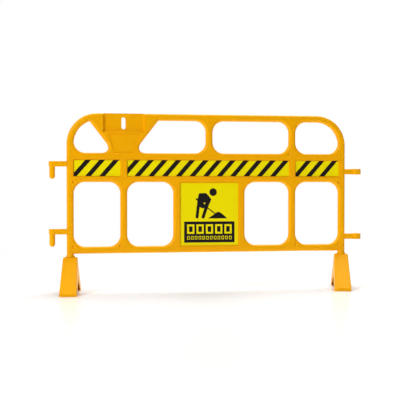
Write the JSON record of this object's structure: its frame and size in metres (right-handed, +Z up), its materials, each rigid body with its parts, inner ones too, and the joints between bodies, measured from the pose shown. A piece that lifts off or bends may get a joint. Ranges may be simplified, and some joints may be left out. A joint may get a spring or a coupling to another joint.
{
  "type": "road-works barrier panel",
  "caption": "Upright moulded plastic barrier panel with reflective strips and sign, windows, lamp pocket, hooks and eyes for linking in a row, and turning A-frame feet.",
  "frame": {"origin": "on the ground, midway between the two posts, in the middle of the panel's thickness", "axes": "+X along the panel from the hooks to the eyes, +Y to the rear, +Z up"},
  "size_m": [1.684, 0.4168, 0.931],
  "materials": {
    "body_plastic": "satin orange-yellow polyethylene, as moulded",
    "reflective_yellow": "yellow retroreflective sheet",
    "black_film": "black cut film",
    "plug_nylon": "black turned nylon",
    "zinc_steel": "zinc-plated steel",
    "brass": "plain turned brass"
  },
  "bodies": {
    "panel": {"panel": "body_plastic", "left_post_plug": "plug_nylon", "right_post_plug": "plug_nylon", "left_threaded_insert": "brass", "right_threaded_insert": "brass", "left_foot_washer": "zinc_steel", "right_foot_washer": "zinc_steel", "left_foot_bolt": "zinc_steel", "right_foot_bolt": "zinc_steel", "upper_hook": "body_plastic", "lower_hook": "body_plastic", "upper_eye": "body_plastic", "lower_eye": "body_plastic", "hook_screws": "zinc_steel", "eye_screws": "zinc_steel", "front_strip_left": "reflective_yellow", "front_strip_centre": "reflective_yellow", "front_strip_right": "reflective_yellow", "front_bands_left": "black_film", "front_bands_centre": "black_film", "front_bands_right": "black_film", "front_sign": "reflective_yellow", "front_sign_symbol": "black_film", "front_sign_legend": "reflective_yellow", "rear_strip_left": "reflective_yellow", "rear_strip_centre": "reflective_yellow", "rear_strip_right": "reflective_yellow", "rear_bands_left": "black_film", "rear_bands_centre": "black_film", "rear_bands_right": "black_film", "rear_sign": "reflective_yellow", "rear_sign_symbol": "black_film", "rear_sign_legend": "reflective_yellow"},
    "left_foot": {"left_foot": "body_plastic"},
    "right_foot": {"right_foot": "body_plastic"}
  },
  "joints": [
    {"name": "left_foot_swivel", "type": "hinge", "parent": "panel", "child": "left_foot", "pos_m": [-0.732, 0, 0.186], "axis": [0, 0, 1], "range_deg": [-82, 98]},
    {"name": "right_foot_swivel", "type": "hinge", "parent": "panel", "child": "right_foot", "pos_m": [0.732, 0, 0.186], "axis": [0, 0, 1], "range_deg": [-75, 105]}
  ]
}
